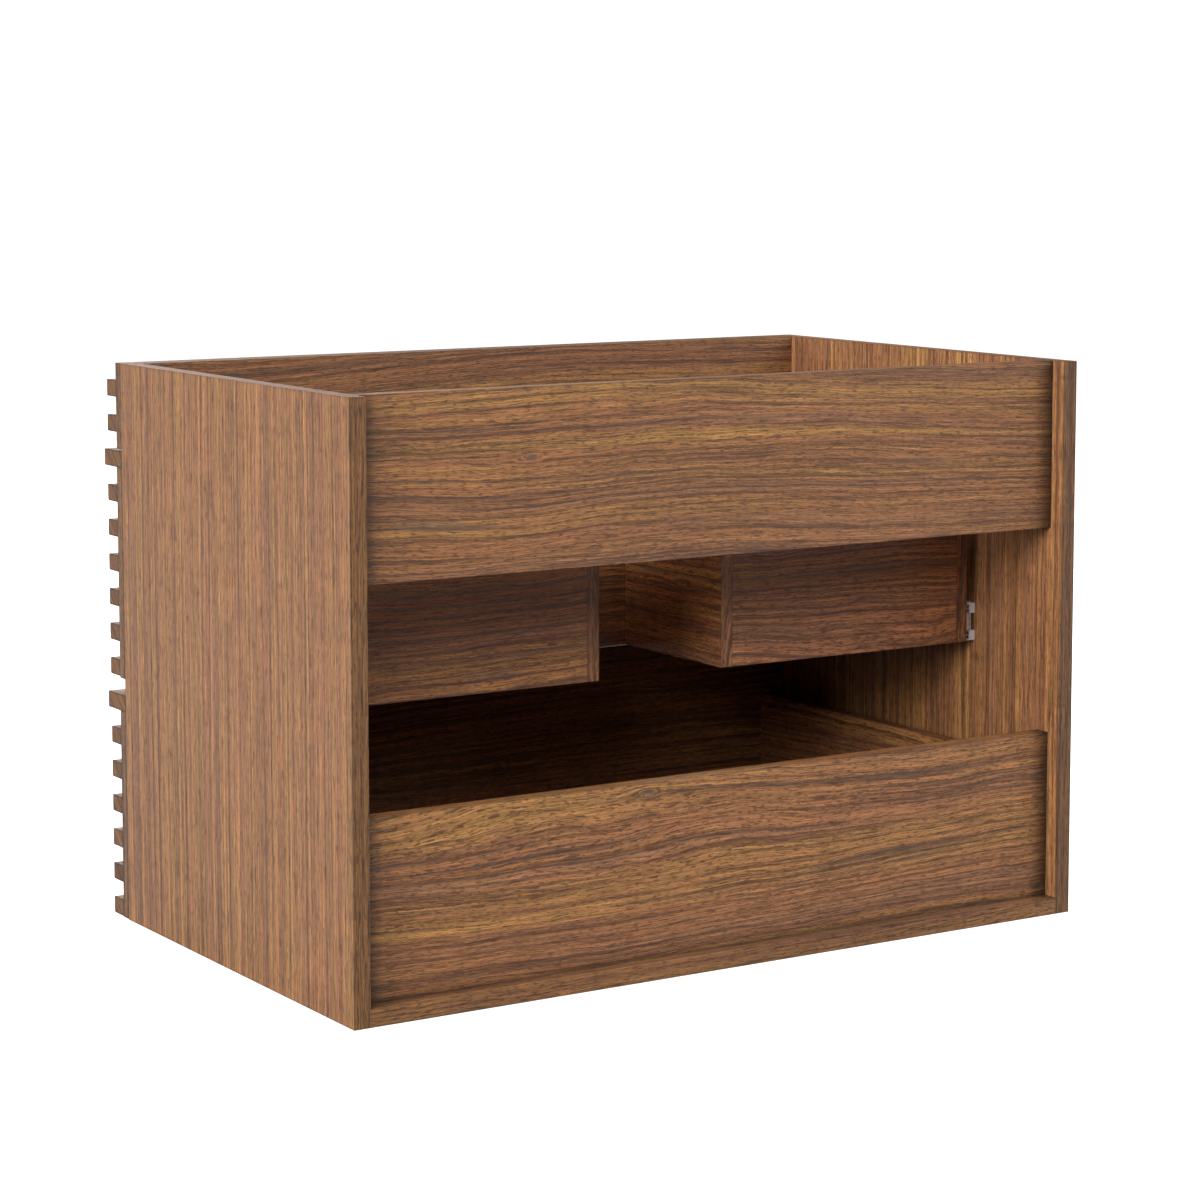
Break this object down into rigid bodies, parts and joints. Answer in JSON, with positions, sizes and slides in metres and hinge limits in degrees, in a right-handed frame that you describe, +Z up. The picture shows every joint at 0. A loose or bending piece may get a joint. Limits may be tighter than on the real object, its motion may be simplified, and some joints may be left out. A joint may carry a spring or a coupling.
{
  "type": "bathroom vanity cabinet",
  "caption": "Wall-hung vanity base cabinet with an open top, rear service gap and slatted drawer fronts on ball-bearing slides; the upper drawer is notched for the waste pipe.",
  "frame": {"origin": "under the middle of the cabinet's box, at the level of its lowest face", "axes": "+Z up; -Y is the slatted front; +Y is the rear that meets the wall; +X is to the right seen from the front"},
  "size_m": [0.743, 0.472, 0.508],
  "materials": {
    "walnut_sides": "walnut laminate, vertical grain, satin",
    "walnut_rails": "walnut laminate, horizontal grain, satin",
    "walnut_fronts": "walnut laminate, horizontal grain, satin",
    "walnut_slats": "walnut slats, grain along the slat, satin",
    "walnut_drawers": "walnut laminate, horizontal grain, satin",
    "dowel_beech": "beech, unfinished",
    "slide_zinc": "bright zinc plated steel",
    "screw_steel": "zinc plated steel",
    "ball_steel": "polished steel balls in pressed steel cages"
  },
  "bodies": {
    "cabinet": {"side_panel_left": "walnut_sides", "side_panel_right": "walnut_sides", "bottom_panel": "walnut_rails", "rear_top_rail": "walnut_rails", "rear_bottom_rail": "walnut_rails", "front_top_rail": "walnut_rails", "fascia_panel": "walnut_fronts", "fascia_slat_1": "walnut_slats", "fascia_slat_2": "walnut_slats", "carcass_dowels": "dowel_beech", "cabinet_slide_screws": "screw_steel", "upper_left_slide_outer": "slide_zinc", "upper_right_slide_outer": "slide_zinc", "lower_left_slide_outer": "slide_zinc", "lower_right_slide_outer": "slide_zinc"},
    "upper_drawer": {"upper_front_panel": "walnut_fronts", "upper_pull_rail": "walnut_slats", "upper_slat_1": "walnut_slats", "upper_slat_2": "walnut_slats", "upper_slat_3": "walnut_slats", "upper_slat_4": "walnut_slats", "upper_slat_5": "walnut_slats", "upper_slat_6": "walnut_slats", "upper_side_left": "walnut_drawers", "upper_side_right": "walnut_drawers", "upper_notch_side_left": "walnut_drawers", "upper_notch_side_right": "walnut_drawers", "upper_notch_crosspiece": "walnut_drawers", "upper_back_left": "walnut_drawers", "upper_back_right": "walnut_drawers", "upper_bottom": "walnut_drawers", "upper_dowels": "dowel_beech", "upper_slide_screws": "screw_steel", "upper_left_slide_inner": "slide_zinc", "upper_right_slide_inner": "slide_zinc"},
    "lower_drawer": {"lower_front_panel": "walnut_fronts", "lower_pull_rail": "walnut_slats", "lower_slat_1": "walnut_slats", "lower_slat_2": "walnut_slats", "lower_slat_3": "walnut_slats", "lower_slat_4": "walnut_slats", "lower_slat_5": "walnut_slats", "lower_slat_6": "walnut_slats", "lower_side_left": "walnut_drawers", "lower_side_right": "walnut_drawers", "lower_back": "walnut_drawers", "lower_bottom": "walnut_drawers", "lower_dowels": "dowel_beech", "lower_slide_screws": "screw_steel", "lower_left_slide_inner": "slide_zinc", "lower_right_slide_inner": "slide_zinc"},
    "upper_left_middle_slide": {"upper_left_slide_middle": "slide_zinc"},
    "upper_right_middle_slide": {"upper_right_slide_middle": "slide_zinc"},
    "upper_outer_cages": {"upper_outer_ball_cages": "ball_steel"},
    "upper_inner_cages": {"upper_inner_ball_cages": "ball_steel"},
    "lower_left_middle_slide": {"lower_left_slide_middle": "slide_zinc"},
    "lower_right_middle_slide": {"lower_right_slide_middle": "slide_zinc"},
    "lower_outer_cages": {"lower_outer_ball_cages": "ball_steel"},
    "lower_inner_cages": {"lower_inner_ball_cages": "ball_steel"}
  },
  "joints": [
    {"name": "upper_drawer_slide", "type": "slide", "parent": "cabinet", "child": "upper_drawer", "axis": [0, -1, 0], "range_m": [0, 0.3]},
    {"name": "lower_drawer_slide", "type": "slide", "parent": "cabinet", "child": "lower_drawer", "axis": [0, -1, 0], "range_m": [0, 0.3]},
    {"name": "upper_left_middle_slide_travel", "type": "slide", "parent": "cabinet", "child": "upper_left_middle_slide", "axis": [0, -1, 0], "range_m": [0, 0.15]},
    {"name": "upper_right_middle_slide_travel", "type": "slide", "parent": "cabinet", "child": "upper_right_middle_slide", "axis": [0, -1, 0], "range_m": [0, 0.15]},
    {"name": "upper_outer_cage_travel", "type": "slide", "parent": "cabinet", "child": "upper_outer_cages", "axis": [0, -1, 0], "range_m": [0, 0.075]},
    {"name": "upper_inner_cage_travel", "type": "slide", "parent": "cabinet", "child": "upper_inner_cages", "axis": [0, -1, 0], "range_m": [0, 0.225]},
    {"name": "lower_left_middle_slide_travel", "type": "slide", "parent": "cabinet", "child": "lower_left_middle_slide", "axis": [0, -1, 0], "range_m": [0, 0.15]},
    {"name": "lower_right_middle_slide_travel", "type": "slide", "parent": "cabinet", "child": "lower_right_middle_slide", "axis": [0, -1, 0], "range_m": [0, 0.15]},
    {"name": "lower_outer_cage_travel", "type": "slide", "parent": "cabinet", "child": "lower_outer_cages", "axis": [0, -1, 0], "range_m": [0, 0.075]},
    {"name": "lower_inner_cage_travel", "type": "slide", "parent": "cabinet", "child": "lower_inner_cages", "axis": [0, -1, 0], "range_m": [0, 0.225]}
  ],
  "couplings": [
    {"joint": "upper_left_middle_slide_travel", "follows": "upper_drawer_slide", "ratio": 0.5},
    {"joint": "upper_right_middle_slide_travel", "follows": "upper_drawer_slide", "ratio": 0.5},
    {"joint": "upper_outer_cage_travel", "follows": "upper_drawer_slide", "ratio": 0.25},
    {"joint": "upper_inner_cage_travel", "follows": "upper_drawer_slide", "ratio": 0.75},
    {"joint": "lower_left_middle_slide_travel", "follows": "lower_drawer_slide", "ratio": 0.5},
    {"joint": "lower_right_middle_slide_travel", "follows": "lower_drawer_slide", "ratio": 0.5},
    {"joint": "lower_outer_cage_travel", "follows": "lower_drawer_slide", "ratio": 0.25},
    {"joint": "lower_inner_cage_travel", "follows": "lower_drawer_slide", "ratio": 0.75}
  ]
}
